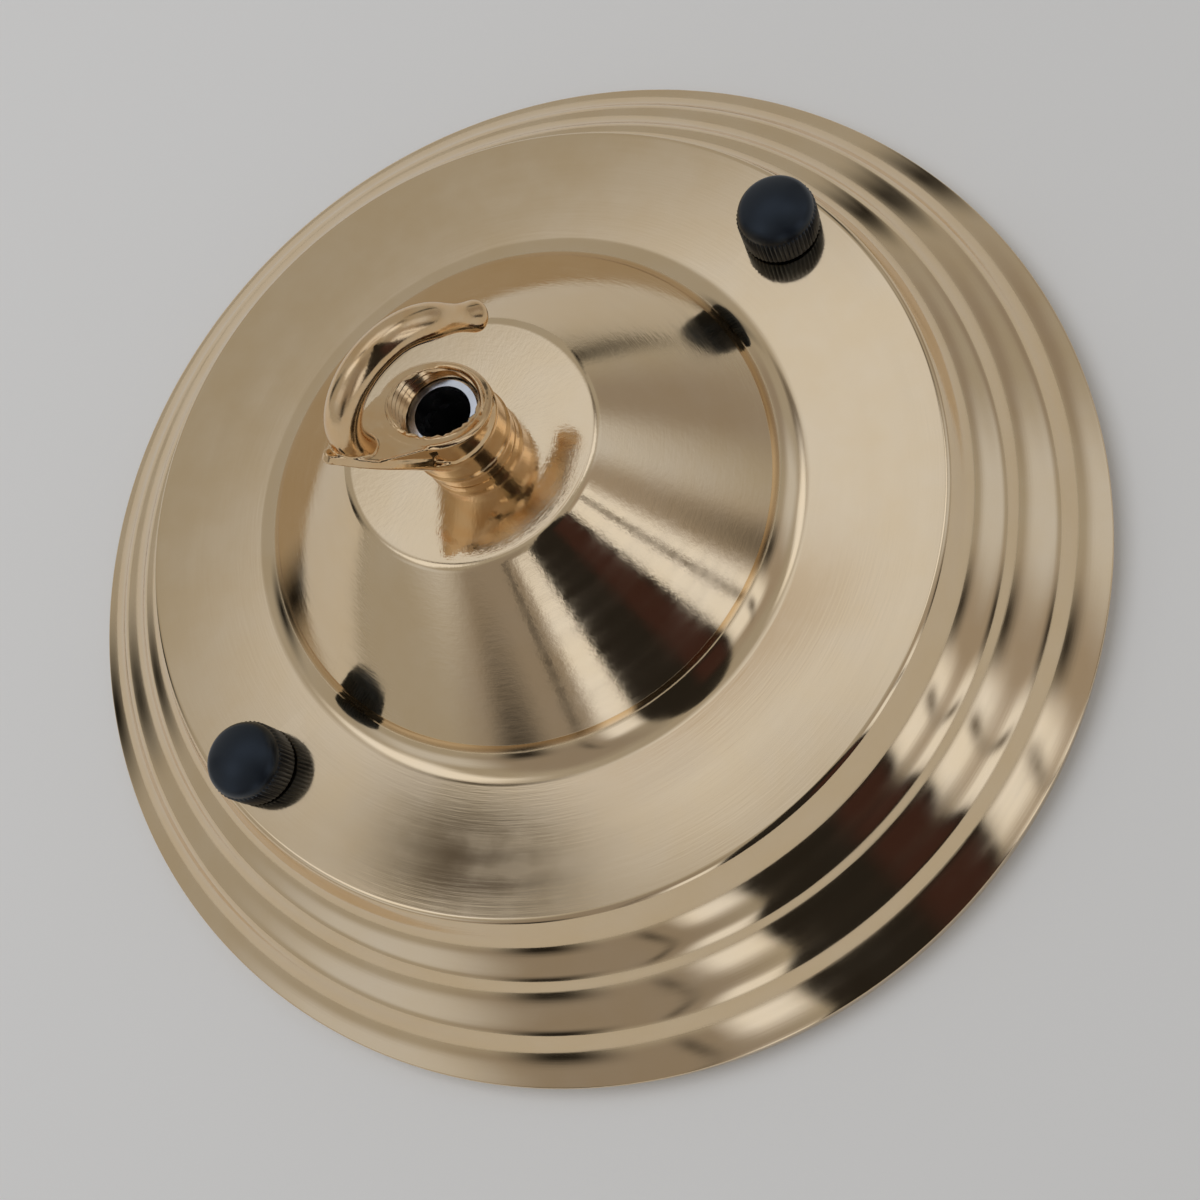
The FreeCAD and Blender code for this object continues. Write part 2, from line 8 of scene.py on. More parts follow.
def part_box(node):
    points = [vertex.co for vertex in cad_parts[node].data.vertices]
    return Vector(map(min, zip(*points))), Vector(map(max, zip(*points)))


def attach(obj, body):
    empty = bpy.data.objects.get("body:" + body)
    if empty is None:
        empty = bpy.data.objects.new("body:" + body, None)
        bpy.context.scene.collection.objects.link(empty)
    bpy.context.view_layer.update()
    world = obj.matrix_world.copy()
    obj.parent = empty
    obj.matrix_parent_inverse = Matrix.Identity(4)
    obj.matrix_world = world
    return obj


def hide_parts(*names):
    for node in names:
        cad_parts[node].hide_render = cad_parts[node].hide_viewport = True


# Ceiling rose: the turned canopy, cast hook and knurled thumb nuts that are seen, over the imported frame.
# Lengths are in metres; sizes written in millimetres are multiplied by MM.
MM = 0.001

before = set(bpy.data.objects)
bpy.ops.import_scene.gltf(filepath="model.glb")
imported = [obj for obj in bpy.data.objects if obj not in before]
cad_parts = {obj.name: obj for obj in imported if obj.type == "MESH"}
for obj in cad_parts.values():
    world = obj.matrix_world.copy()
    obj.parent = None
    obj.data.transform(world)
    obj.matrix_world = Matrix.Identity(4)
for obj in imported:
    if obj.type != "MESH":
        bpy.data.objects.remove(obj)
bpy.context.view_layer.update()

# Sizes taken from the frame
RIM_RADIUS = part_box("canopy")[1].x
TOP_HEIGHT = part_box("canopy")[1].z
STUD_REACH = (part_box("stud_right")[0].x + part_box("stud_right")[1].x) / 2
NIPPLE_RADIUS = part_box("nipple")[1].x
NIPPLE_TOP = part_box("nipple")[1].z
THUMB_RADIUS = (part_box("thumb_nut_right")[1].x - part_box("thumb_nut_right")[0].x) / 2
THUMB_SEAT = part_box("thumb_nut_right")[0].z
THUMB_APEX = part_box("thumb_nut_right")[1].z

# Canopy section, from the rim to the top
SHEET = 0.8 * MM
LIP_HEIGHT = 3.3 * MM
STEPS = ((6.4 * MM, 5.7 * MM), (6.5 * MM, 4.9 * MM), (4.9 * MM, 3.8 * MM))
TREAD_SLOPE = math.radians(20)
TREAD_SHARE = 0.52
RISER_SLOPE = math.radians(68)
RISER_SHARE = 0.52
STEP_POINTS = 24
WALL_LEAN = 1.6 * MM
WALL_RISE = 3.6 * MM
PLATE_EDGE_ROUND = 1.0 * MM
COVE_RADIUS = 4.9 * MM
COVE_SWEEP = math.radians(70)
CONE_FOOT_RADIUS = 34.2 * MM
TOP_RADIUS = 16.2 * MM
TOP_EDGE_ROUND = 2.0 * MM
HOLE_GAP = 0.25 * MM
CREASE_ROUND = 0.3 * MM
CREASE_ANGLE = math.radians(12)
STEP_SPACING = 0.3 * MM
STEP_EASING = 12
CANOPY_SEGMENTS = 320
CANOPY_SHARP_ANGLE = math.radians(35)
ARC_POINTS = 12
CORNER_POINTS = 4
STUD_HOLE_RADIUS = 2.25 * MM
STUD_HOLE_SEGMENTS = 48
NEAR_AXIS = 0.0001 * MM

# Hook: its ribbed collar and sloping mouth, with the cut thread and rough lip inside
HOOK_TURN = math.radians(177.5)
THREAD_GAP = 0.05 * MM
HOOK_BORE = NIPPLE_RADIUS + THREAD_GAP
CAST_GRAIN = 0.15 * MM
CAST_SOFTENING = 2
CAST_SOFTNESS = 0.5
CAST_SHARP_ANGLE = math.radians(60)
MOUTH_HEIGHT = NIPPLE_TOP + 2.9 * MM
MOUTH_SLOPE = 0.42
COLLAR_RADIUS = 6.12 * MM
COLLAR_RIB = 0.22 * MM
COLLAR_RIB_HEIGHTS = (TOP_HEIGHT + 6.9 * MM, TOP_HEIGHT + 2.3 * MM)
COLLAR_RIB_HALF = 0.35 * MM
COLLAR_POINTS = 180
LEAF_FROM = 4.0 * MM
LEAF_TO = 8.5 * MM
LEAF_FROM_HALF_WIDTH = 5.0 * MM
LEAF_TO_HALF_WIDTH = 3.3 * MM
LEAF_ROWS = 40
LEAF_DEPTH = 2.6 * MM
LEAF_FILL = 0.98
LEAF_NEAREST = 0.1 * MM
THREAD_PITCH = 1.0 * MM
THREAD_DEPTH = 0.4 * MM
THREAD_START = NIPPLE_TOP - 0.25 * MM
THREAD_ROWS = 120
THREAD_POINTS = 160
THREAD_BACKING = 0.3 * MM
THREAD_RUN_OUT = 0.1 * MM
THREAD_SHARP_ANGLE = math.radians(50)
LIP_FROM = math.radians(150)
LIP_TO = math.radians(335)
LIP_REACH = 0.45 * MM
LIP_ROOT = 0.1 * MM
LIP_POINTS = 200
LIP_TAPER = 5
LIP_LEAST = 0.02
LIP_SEED = 5
LIP_WAVES = 9
LIP_WAVE_RATES = (4, 40)
LIP_WAVE_SHIFTS = (0, 6.28)
LIP_WAVE_SIZES = (0.05, 0.14)
# Section of the lip: how far in, as a share of its reach, and how high, in millimetres
LIP_SECTION = ((0, 0.03), (0.5, 0.05), (0.92, -0.02), (1.0, -0.12), (0.9, -0.26), (0.4, -0.34),
               (-0.4, -0.36), (-0.6, -0.1))

# Thumb nuts
THUMB_NECK_RADIUS = 3.7 * MM
THUMB_NECK_HEIGHT = 0.35 * MM
THUMB_KNURL_HEIGHT = 4.2 * MM
THUMB_SHOULDER_ROUND = 1.9 * MM
THUMB_BORE_RADIUS = 2.05 * MM
THUMB_BORE_DEPTH = 5.2 * MM
THUMB_TEETH = 54
THUMB_TOOTH_DEPTH = 0.25 * MM
THUMB_EDGE_CHAMFER = 0.3 * MM
POINTS_PER_TOOTH = 8
THUMB_TOOTH_FULLNESS = 0.8
THUMB_TOOTH_RUN_OUT = 0.55
THUMB_SHARP_ANGLE = math.radians(40)

# Camera, fitted to the round steps and the axis of the rose
CAMERA_PLACE = Vector((-4.486, -95.84, 195.57)) * MM
CAMERA_RIGHT = Vector((0.69502, -0.65986, -0.28553))
CAMERA_UP = Vector((0.71892, 0.63255, 0.28815))
CAMERA_LENS = 44.68
CAMERA_SENSOR = 36.0
CAMERA_NEAREST = 10 * MM


def add_object(name, content):
    """New object in the scene with the given mesh, lamp or lens."""
    piece = bpy.data.objects.new(name, content)
    bpy.context.scene.collection.objects.link(piece)
    return piece


def arc_points(start, middle, end, count=ARC_POINTS):
    """Points of the arc through three points, without the first."""
    (ax, ay), (bx, by), (cx, cy) = start, middle, end
    twice_area = 2 * (ax * (by - cy) + bx * (cy - ay) + cx * (ay - by))
    squares = (ax * ax + ay * ay, bx * bx + by * by, cx * cx + cy * cy)
    centre_x = (squares[0] * (by - cy) + squares[1] * (cy - ay) + squares[2] * (ay - by)) / twice_area
    centre_y = (squares[0] * (cx - bx) + squares[1] * (ax - cx) + squares[2] * (bx - ax)) / twice_area
    radius = math.hypot(ax - centre_x, ay - centre_y)
    first = math.atan2(ay - centre_y, ax - centre_x)
    sweep = math.remainder(math.atan2(cy - centre_y, cx - centre_x) - first, 2 * math.pi)
    angles = [first + sweep * index / count for index in range(1, count + 1)]
    return [(centre_x + radius * math.cos(a), centre_y + radius * math.sin(a)) for a in angles]


def step_points(start, end):
    """One step: a gentle tread that hollows out into the riser below the next nose."""
    run, rise = start[0] - end[0], end[1] - start[1]
    tread = TREAD_SHARE * run
    riser = RISER_SHARE * rise
    second = (start[0] - tread, start[1] + tread * math.tan(TREAD_SLOPE))
    third = (end[0] + riser / math.tan(RISER_SLOPE), end[1] - riser)
    points = []
    for index in range(1, STEP_POINTS + 1):
        t = index / STEP_POINTS
        shares = ((1 - t) ** 3, 3 * t * (1 - t) ** 2, 3 * t * t * (1 - t), t ** 3)
        corners = (start, second, third, end)
        points.append(tuple(sum(share * corner[axis] for share, corner in zip(shares, corners))
                            for axis in (0, 1)))
    return points


def turn_at(before, corner, after):
    """How far a line of points turns at a corner, and the two unit directions."""
    come = Vector((corner[0] - before[0], corner[1] - before[1])).normalized()
    leave = Vector((after[0] - corner[0], after[1] - corner[1])).normalized()
    return come.angle(leave), come, leave


def round_corner(before, corner, after, radius, count=CORNER_POINTS):
    """Arc of the given radius in place of a corner."""
    turn, come, leave = turn_at(before, corner, after)
    setback = radius * math.tan(turn / 2)
    first = (corner[0] - come.x * setback, corner[1] - come.y * setback)
    last = (corner[0] + leave.x * setback, corner[1] + leave.y * setback)
    inward = (leave - come).normalized()
    reach = radius / math.cos(turn / 2) - radius
    middle = (corner[0] + inward.x * reach, corner[1] + inward.y * reach)
    return [first] + arc_points(first, middle, last, count)


def ease_creases(points):
    """Rounds each crease of a section a little, as pressed sheet has it."""
    eased = [points[0]]
    for before, corner, after in zip(points, points[1:], points[2:]):
        if turn_at(before, corner, after)[0] > CREASE_ANGLE:
            eased += round_corner(before, corner, after, CREASE_ROUND)
        else:
            eased.append(corner)
    return eased + [points[-1]]


def evenly_eased(points):
    """The same line in short even lengths, with its creases eased by averaging neighbours."""
    even = [points[0]]
    for start, end in zip(points, points[1:]):
        count = max(1, round(math.dist(start, end) / STEP_SPACING))
        for index in range(1, count + 1):
            share = index / count
            even.append((start[0] + (end[0] - start[0]) * share, start[1] + (end[1] - start[1]) * share))
    for _ in range(STEP_EASING):
        inner = [((a[0] + 2 * b[0] + c[0]) / 4, (a[1] + 2 * b[1] + c[1]) / 4)
                 for a, b, c in zip(even, even[1:], even[2:])]
        even = [even[0]] + inner + [even[-1]]
    return even


def offset_points(points, distance):
    """The same section moved to its left by the given distance."""
    moved = []
    for index, corner in enumerate(points):
        before = points[max(index - 1, 0)]
        after = points[min(index + 1, len(points) - 1)]
        if index == 0:
            before = (2 * corner[0] - after[0], 2 * corner[1] - after[1])
        if index == len(points) - 1:
            after = (2 * corner[0] - before[0], 2 * corner[1] - before[1])
        turn, come, leave = turn_at(before, corner, after)
        along = (come + leave).normalized()
        reach = distance / math.cos(turn / 2)
        moved.append((corner[0] - along.y * reach, corner[1] + along.x * reach))
    return moved


def turned_mesh(name, section, segments, closed=False, radius_at=None):
    """Turns a section of (radius, height) points about Z; a point on the axis is one vertex."""
    body = bmesh.new()
    rings = []
    for level, (radius, height) in enumerate(section):
        if radius < NEAR_AXIS:
            rings.append([body.verts.new((0, 0, height))])
            continue
        ring = []
        for index in range(segments):
            angle = 2 * math.pi * index / segments
            reach = radius_at(level, index) if radius_at else radius
            ring.append(body.verts.new((reach * math.cos(angle), reach * math.sin(angle), height)))
        rings.append(ring)
    pairs = list(zip(rings, rings[1:]))
    if closed:
        pairs.append((rings[-1], rings[0]))
    for lower, upper in pairs:
        for index in range(segments):
            following = (index + 1) % segments
            corners = [lower[index % len(lower)], lower[following % len(lower)],
                       upper[following % len(upper)], upper[index % len(upper)]]
            corners = list(dict.fromkeys(corners))
            if len(corners) > 2:
                body.faces.new(corners)
    bmesh.ops.recalc_face_normals(body, faces=body.faces)
    mesh = bpy.data.meshes.new(name)
    body.to_mesh(mesh)
    body.free()
    return mesh


def shade(mesh, sharp_angle):
    """Smooth shading, with edges past the given angle left sharp."""
    mesh.shade_smooth()
    mesh.set_sharp_from_angle(angle=sharp_angle)


def baked(piece):
    """Puts what the piece's modifiers make into its mesh."""
    depsgraph = bpy.context.evaluated_depsgraph_get()
    made = bpy.data.meshes.new_from_object(piece.evaluated_get(depsgraph))
    made.name = piece.name
    piece.modifiers.clear()
    piece.data = made


def canopy_section():
    """Outside of the canopy in two runs: lip and steps to half up the wall, then on to the top's hole."""
    steps = [(RIM_RADIUS, 0), (RIM_RADIUS, LIP_HEIGHT)]
    for tread, rise in STEPS:
        start = steps[-1]
        steps += step_points(start, (start[0] - tread, start[1] + rise))
    wall_foot = steps[-1]
    plate_corner = (wall_foot[0] - WALL_LEAN, wall_foot[1] + WALL_RISE)
    steps.append((wall_foot[0] - WALL_LEAN / 2, wall_foot[1] + WALL_RISE / 2))
    cove_foot = (CONE_FOOT_RADIUS + COVE_RADIUS * math.sin(COVE_SWEEP), plate_corner[1])
    points = round_corner(wall_foot, plate_corner, cove_foot, PLATE_EDGE_ROUND, ARC_POINTS)
    half = COVE_SWEEP / 2
    cove_middle = (cove_foot[0] - COVE_RADIUS * math.sin(half),
                   cove_foot[1] + COVE_RADIUS * (1 - math.cos(half)))
    cone_foot = (CONE_FOOT_RADIUS, cove_foot[1] + COVE_RADIUS * (1 - math.cos(COVE_SWEEP)))
    points += [cove_foot] + arc_points(cove_foot, cove_middle, cone_foot, 2 * ARC_POINTS)
    top_corner = (TOP_RADIUS, TOP_HEIGHT)
    hole_edge = (NIPPLE_RADIUS + HOLE_GAP, TOP_HEIGHT)
    points += round_corner(cone_foot, top_corner, hole_edge, TOP_EDGE_ROUND, ARC_POINTS)
    return steps, points + [hole_edge]


def canopy():
    """Pressed and turned canopy with its stud holes, of even sheet thickness."""
    steps, crown = canopy_section()
    inside = offset_points(steps + crown, SHEET)
    inside[0] = (inside[0][0], 0)
    lip = ease_creases(steps[:3])[:-1]
    section = lip + evenly_eased([lip[-1]] + steps[2:]) + ease_creases(crown) + inside[::-1]
    piece = add_object("canopy_shell", turned_mesh("canopy_shell", section, CANOPY_SEGMENTS, closed=True))
    plate_height = sum((rise for _, rise in STEPS), LIP_HEIGHT) + WALL_RISE
    for side in (-1, 1):
        drill_mesh = turned_mesh("drill", [(0, -2 * SHEET), (STUD_HOLE_RADIUS, -2 * SHEET),
                                           (STUD_HOLE_RADIUS, SHEET), (0, SHEET)],
                                 STUD_HOLE_SEGMENTS)
        drill = add_object("drill", drill_mesh)
        drill.location = (side * STUD_REACH, 0, plate_height)
        cut = piece.modifiers.new("stud_hole", "BOOLEAN")
        cut.object = drill
        bpy.context.view_layer.update()
        baked(piece)
        bpy.data.objects.remove(drill)
    shade(piece.data, CANOPY_SHARP_ANGLE)
    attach(piece, "rose")
    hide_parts("canopy")
    return piece


def grid_mesh(name, rows, closed):
    """Mesh over rows of points that each close on themselves; ends that don't meet are filled."""
    body = bmesh.new()
    verts = [[body.verts.new(place) for place in row] for row in rows]
    row_count = len(verts) if closed else len(verts) - 1
    for row in range(row_count):
        lower, upper = verts[row], verts[(row + 1) % len(verts)]
        for column in range(len(lower)):
            following = (column + 1) % len(lower)
            body.faces.new((lower[column], lower[following], upper[following], upper[column]))
    if not closed:
        body.faces.new(verts[0])
        body.faces.new(verts[-1])
    bmesh.ops.recalc_face_normals(body, faces=body.faces)
    mesh = bpy.data.meshes.new(name)
    body.to_mesh(mesh)
    body.free()
    return mesh


def round_place(angle, radius, height):
    """Place at an angle round the axis."""
    return radius * math.cos(angle), radius * math.sin(angle), height


def mouth_at(angle, radius):
    """Height of the sloping mouth over a place round the axis."""
    return MOUTH_HEIGHT + MOUTH_SLOPE * radius * math.cos(angle - HOOK_TURN)


def collar_mesh():
    """Tube round the bore with two ribs and a rolled edge along the mouth."""
    rows = []
    for index in range(COLLAR_POINTS):
        angle = 2 * math.pi * index / COLLAR_POINTS
        top = mouth_at(angle, COLLAR_RADIUS)
        rib = COLLAR_RADIUS + COLLAR_RIB
        inner = mouth_at(angle, HOOK_BORE)
        loop = [(HOOK_BORE, inner), (rib - COLLAR_RIB_HALF, top), (rib, top - COLLAR_RIB_HALF),
                (rib, top - 2 * COLLAR_RIB_HALF), (COLLAR_RADIUS - COLLAR_RIB, top - 4 * COLLAR_RIB_HALF)]
        for height in COLLAR_RIB_HEIGHTS:
            loop += [(COLLAR_RADIUS, height + 2 * COLLAR_RIB_HALF), (rib, height + COLLAR_RIB_HALF / 2),
                     (rib, height - COLLAR_RIB_HALF / 2), (COLLAR_RADIUS, height - 2 * COLLAR_RIB_HALF)]
        loop += [(COLLAR_RADIUS, TOP_HEIGHT), (HOOK_BORE, TOP_HEIGHT)]
        rows.append([round_place(angle, radius, height) for radius, height in loop])
    return grid_mesh("collar", rows, True)


def leaf_mesh():
    """Filling between the mouth and the leaf, so that both are one sloping face."""
    ahead = Vector((math.cos(HOOK_TURN), math.sin(HOOK_TURN), 0))
    across = Vector((-ahead.y, ahead.x, 0))
    narrowing = (LEAF_TO - LEAF_FROM) / (LEAF_FROM_HALF_WIDTH - LEAF_TO_HALF_WIDTH)
    rows = []
    for row in range(LEAF_ROWS + 1):
        side = LEAF_FROM_HALF_WIDTH * (2 * row / LEAF_ROWS - 1) * LEAF_FILL
        start = math.sqrt(max(HOOK_BORE ** 2 - side ** 2, LEAF_NEAREST ** 2))
        end = min(LEAF_TO, LEAF_FROM + (LEAF_FROM_HALF_WIDTH - abs(side)) * narrowing)
        loop = []
        for depth, order in ((0, range(LEAF_ROWS + 1)), (LEAF_DEPTH, range(LEAF_ROWS, -1, -1))):
            for column in order:
                along = start + (end - start) * column / LEAF_ROWS
                height = MOUTH_HEIGHT + MOUTH_SLOPE * along - depth
                loop.append(ahead * along + across * side + Vector((0, 0, height)))
        rows.append(loop)
    return grid_mesh("leaf", rows, False)


def cast_hook():
    """The casting with its collar and leaf, and the soft edges and corners that a mould leaves."""
    body = bmesh.new()
    body.from_mesh(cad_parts["hook"].data)
    for addition in (collar_mesh(), leaf_mesh()):
        body.from_mesh(addition)
        bpy.data.meshes.remove(addition)
    mesh = bpy.data.meshes.new("hook_casting")
    body.to_mesh(mesh)
    body.free()
    piece = add_object("hook_casting", mesh)
    skin = piece.modifiers.new("even_skin", "REMESH")
    skin.mode = "VOXEL"
    skin.voxel_size = CAST_GRAIN
    softening = piece.modifiers.new("softening", "SMOOTH")
    softening.iterations = CAST_SOFTENING
    softening.factor = CAST_SOFTNESS
    baked(piece)
    shade(piece.data, CAST_SHARP_ANGLE)
    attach(piece, "rose")
    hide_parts("hook")
    return piece


def hook_thread():
    """Cut thread in the bore, from the nipple up to the sloping mouth."""
    rows = []
    for index in range(THREAD_POINTS):
        angle = 2 * math.pi * index / THREAD_POINTS
        top = mouth_at(angle, HOOK_BORE) - THREAD_RUN_OUT
        loop = [round_place(angle, HOOK_BORE + THREAD_BACKING, THREAD_START)]
        for level in range(THREAD_ROWS + 1):
            height = THREAD_START + (top - THREAD_START) * level / THREAD_ROWS
            phase = (height / THREAD_PITCH - index / THREAD_POINTS) % 1
            ridge = 1 - abs(2 * phase - 1)
            loop.append(round_place(angle, HOOK_BORE + THREAD_GAP - THREAD_DEPTH * ridge, height))
        loop.append(round_place(angle, HOOK_BORE + THREAD_BACKING, top))
        rows.append(loop)
    piece = add_object("hook_thread", grid_mesh("hook_thread", rows, True))
    shade(piece.data, THREAD_SHARP_ANGLE)
    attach(piece, "rose")
    return piece


def mouth_lip():
    """Rough lip of metal that the thread cutter left along the near side of the mouth."""
    chance = random.Random(LIP_SEED)
    waves = [(chance.uniform(*LIP_WAVE_RATES), chance.uniform(*LIP_WAVE_SHIFTS),
              chance.uniform(*LIP_WAVE_SIZES)) for _ in range(LIP_WAVES)]
    rows = []
    for index in range(LIP_POINTS + 1):
        share = index / LIP_POINTS
        angle = LIP_FROM + (LIP_TO - LIP_FROM) * share
        rough = 1 + sum(size * math.sin(rate * angle + shift) for rate, shift, size in waves)
        reach = LIP_REACH * rough * max(LIP_LEAST, min(1, LIP_TAPER * share, LIP_TAPER * (1 - share)))
        mouth = mouth_at(angle, HOOK_BORE)
        rows.append([round_place(angle, HOOK_BORE + LIP_ROOT - inward * reach, mouth + rise * MM * rough)
                     for inward, rise in LIP_SECTION])
    mesh = grid_mesh("mouth_lip", rows, False)
    shade(mesh, THREAD_SHARP_ANGLE)
    piece = add_object("mouth_lip", mesh)
    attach(piece, "rose")
    return piece


def thumb_nut_section(bottom, apex):
    """Thumb nut from the top of its dome round to the end of its blind bore, at the root of its teeth."""
    root = THUMB_RADIUS - THUMB_TOOTH_DEPTH
    knurl_bottom = bottom + THUMB_NECK_HEIGHT
    shoulder = knurl_bottom + THUMB_KNURL_HEIGHT
    inset = root - THUMB_SHOULDER_ROUND
    rise = apex - shoulder
    crown = (rise ** 2 + inset ** 2 - THUMB_SHOULDER_ROUND ** 2) / (2 * (rise - THUMB_SHOULDER_ROUND))
    crown_half = math.atan2(inset, crown - rise)
    points = []
    for index in range(ARC_POINTS + 1):
        angle = crown_half * index / ARC_POINTS
        points.append((crown * math.sin(angle), apex - crown * (1 - math.cos(angle))))
    for index in range(1, ARC_POINTS + 1):
        angle = (math.pi / 2 - crown_half) * (1 - index / ARC_POINTS)
        points.append((inset + THUMB_SHOULDER_ROUND * math.cos(angle),
                       shoulder + THUMB_SHOULDER_ROUND * math.sin(angle)))
    teeth_top = len(points)
    points += [(root, shoulder - THUMB_EDGE_CHAMFER / 2), (root, shoulder - THUMB_EDGE_CHAMFER),
               (root, knurl_bottom + THUMB_EDGE_CHAMFER)]
    teeth = range(teeth_top, len(points))
    points += [(root, knurl_bottom), (THUMB_NECK_RADIUS, knurl_bottom), (THUMB_NECK_RADIUS, bottom),
               (THUMB_BORE_RADIUS, bottom), (THUMB_BORE_RADIUS, bottom + THUMB_BORE_DEPTH),
               (0, bottom + THUMB_BORE_DEPTH)]
    return points, teeth


def thumb_nut(side_name, side):
    """Domed nut with straight knurling that runs out just under the dome."""
    section, teeth = thumb_nut_section(THUMB_SEAT, THUMB_APEX)
    full = {teeth[1], teeth[2]}

    def radius_at(level, index):
        radius = section[level][0]
        if level not in teeth:
            return radius
        phase = abs((index % POINTS_PER_TOOTH) / POINTS_PER_TOOTH - 0.5) * 2
        height = THUMB_TOOTH_DEPTH * (1 - phase) ** THUMB_TOOTH_FULLNESS
        return radius + height * (1.0 if level in full else THUMB_TOOTH_RUN_OUT)

    name = "thumb_nut_" + side_name
    mesh = turned_mesh(name + "_knurled", section, THUMB_TEETH * POINTS_PER_TOOTH, radius_at=radius_at)
    mesh.transform(Matrix.Translation((side * STUD_REACH, 0, 0)))
    shade(mesh, THUMB_SHARP_ANGLE)
    piece = add_object(name + "_knurled", mesh)
    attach(piece, name)
    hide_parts(name)
    return piece


# Finishes: colours, and how the turning marks lie
CANOPY_GOLD = (0.83, 0.645, 0.415)
CANOPY_GOLD_DEEP = (0.82, 0.63, 0.395)
CANOPY_GOLD_PALE = (0.84, 0.66, 0.435)
HOOK_GOLD = (0.80, 0.56, 0.31)
HOOK_GOLD_DEEP = (0.78, 0.52, 0.27)
HOOK_GOLD_PALE = (0.82, 0.60, 0.36)
NUT_BLACK = (0.004, 0.0055, 0.010)
NUT_SHEEN = (0.72, 0.86, 1.0)
BRIGHT_ZINC = (0.72, 0.73, 0.74)
DULL_ZINC = (0.62, 0.63, 0.64)
EARTH_BRASS = (0.78, 0.60, 0.30)
PATCHES_PER_MM = 0.35
PATCHES_PER_RADIAN = 1.6
# Heights in millimetres between which the coarser marks of the cone come in, and how deep they are
CONE_MARKS_FROM = 24.0
CONE_MARKS_FULL = 26.0
CONE_MARKS_DEPTH = 2.2


class Nodes:
    """Adds and joins nodes of one tree with few words."""

    def __init__(self, tree):
        self.tree = tree

    def add(self, kind, **settings):
        node = self.tree.nodes.new(kind)
        for key, value in settings.items():
            setattr(node, key, value)
        return node

    def feed(self, socket, value):
        if isinstance(value, bpy.types.NodeSocket):
            self.tree.links.new(value, socket)
        else:
            socket.default_value = value

    def math(self, operation, *values):
        node = self.add("ShaderNodeMath", operation=operation)
        for socket, value in zip(node.inputs, values):
            self.feed(socket, value)
        return node.outputs[0]

    def noise(self, vector, scale, detail=2.0, roughness=0.5):
        node = self.add("ShaderNodeTexNoise")
        self.feed(node.inputs["Vector"], vector)
        for label, value in (("Scale", scale), ("Detail", detail), ("Roughness", roughness)):
            self.feed(node.inputs[label], value)
        return node.outputs["Fac"]

    def spread(self, value, low, high, to_low, to_high):
        node = self.add("ShaderNodeMapRange")
        for label, amount in (("Value", value), ("From Min", low), ("From Max", high),
                              ("To Min", to_low), ("To Max", to_high)):
            self.feed(node.inputs[label], amount)
        return node.outputs["Result"]


def new_group(name, inputs, outputs):
    """Empty shader group with its sockets; returns its node helper, input node and output node."""
    tree = bpy.data.node_groups.new(name, "ShaderNodeTree")
    for label, value in inputs:
        socket = tree.interface.new_socket(label, in_out="INPUT", socket_type="NodeSocketFloat")
        socket.default_value = value
    for label in outputs:
        tree.interface.new_socket(label, in_out="OUTPUT", socket_type="NodeSocketFloat")
    nodes = Nodes(tree)
    return nodes, nodes.add("NodeGroupInput"), nodes.add("NodeGroupOutput")


def millimetres(nodes):
    """Place on the piece in millimetres."""
    place = nodes.add("ShaderNodeTexCoord")
    scaled = nodes.add("ShaderNodeVectorMath", operation="SCALE")
    nodes.feed(scaled.inputs[0], place.outputs["Object"])
    nodes.feed(scaled.inputs["Scale"], 1 / MM)
    return scaled.outputs[0]


def turning_marks_group():
    """Fine lines round the axis, as a lathe or spinning tool leaves them."""
    nodes, entry, leave = new_group(
        "turning_marks", (("Lines per mm", 2.6), ("Strokes per turn", 5.0)), ("Height", "Patches"))
    apart = nodes.add("ShaderNodeSeparateXYZ")
    nodes.feed(apart.inputs[0], millimetres(nodes))
    x, y, z = apart.outputs
    square = nodes.math("ADD", nodes.math("MULTIPLY", x, x), nodes.math("MULTIPLY", y, y))
    radius = nodes.math("SQRT", square)
    along = nodes.math("SUBTRACT", radius, z)
    angle = nodes.math("ARCTAN2", y, x)
    combined = nodes.add("ShaderNodeCombineXYZ")
    nodes.feed(combined.inputs["X"], nodes.math("MULTIPLY", along, entry.outputs["Lines per mm"]))
    nodes.feed(combined.inputs["Y"], nodes.math("MULTIPLY", angle, entry.outputs["Strokes per turn"]))
    nodes.feed(leave.inputs["Height"], nodes.noise(combined.outputs[0], 1.0, detail=3.0, roughness=0.6))
    broad = nodes.add("ShaderNodeCombineXYZ")
    nodes.feed(broad.inputs["X"], nodes.math("MULTIPLY", along, PATCHES_PER_MM))
    nodes.feed(broad.inputs["Y"], nodes.math("MULTIPLY", angle, PATCHES_PER_RADIAN))
    nodes.feed(leave.inputs["Patches"], nodes.noise(broad.outputs[0], 1.0, detail=3.0, roughness=0.55))
    return nodes.tree


def fine_grain_group():
    """Small grain of a plated or blasted skin, and larger cloudy patches."""
    nodes, entry, leave = new_group(
        "fine_grain", (("Grains per mm", 6.0), ("Clouds per mm", 0.12)), ("Grain", "Clouds"))
    place = millimetres(nodes)
    grain = nodes.noise(place, entry.outputs["Grains per mm"], detail=3.0, roughness=0.6)
    nodes.feed(leave.inputs["Grain"], grain)
    clouds = nodes.noise(place, entry.outputs["Clouds per mm"], detail=4.0, roughness=0.55)
    nodes.feed(leave.inputs["Clouds"], clouds)
    return nodes.tree


def use_group(nodes, tree, **values):
    """Places a group with its own values; returns its outputs."""
    node = nodes.add("ShaderNodeGroup", node_tree=tree)
    for label, value in values.items():
        nodes.feed(node.inputs[label.replace("_", " ")], value)
    return node.outputs


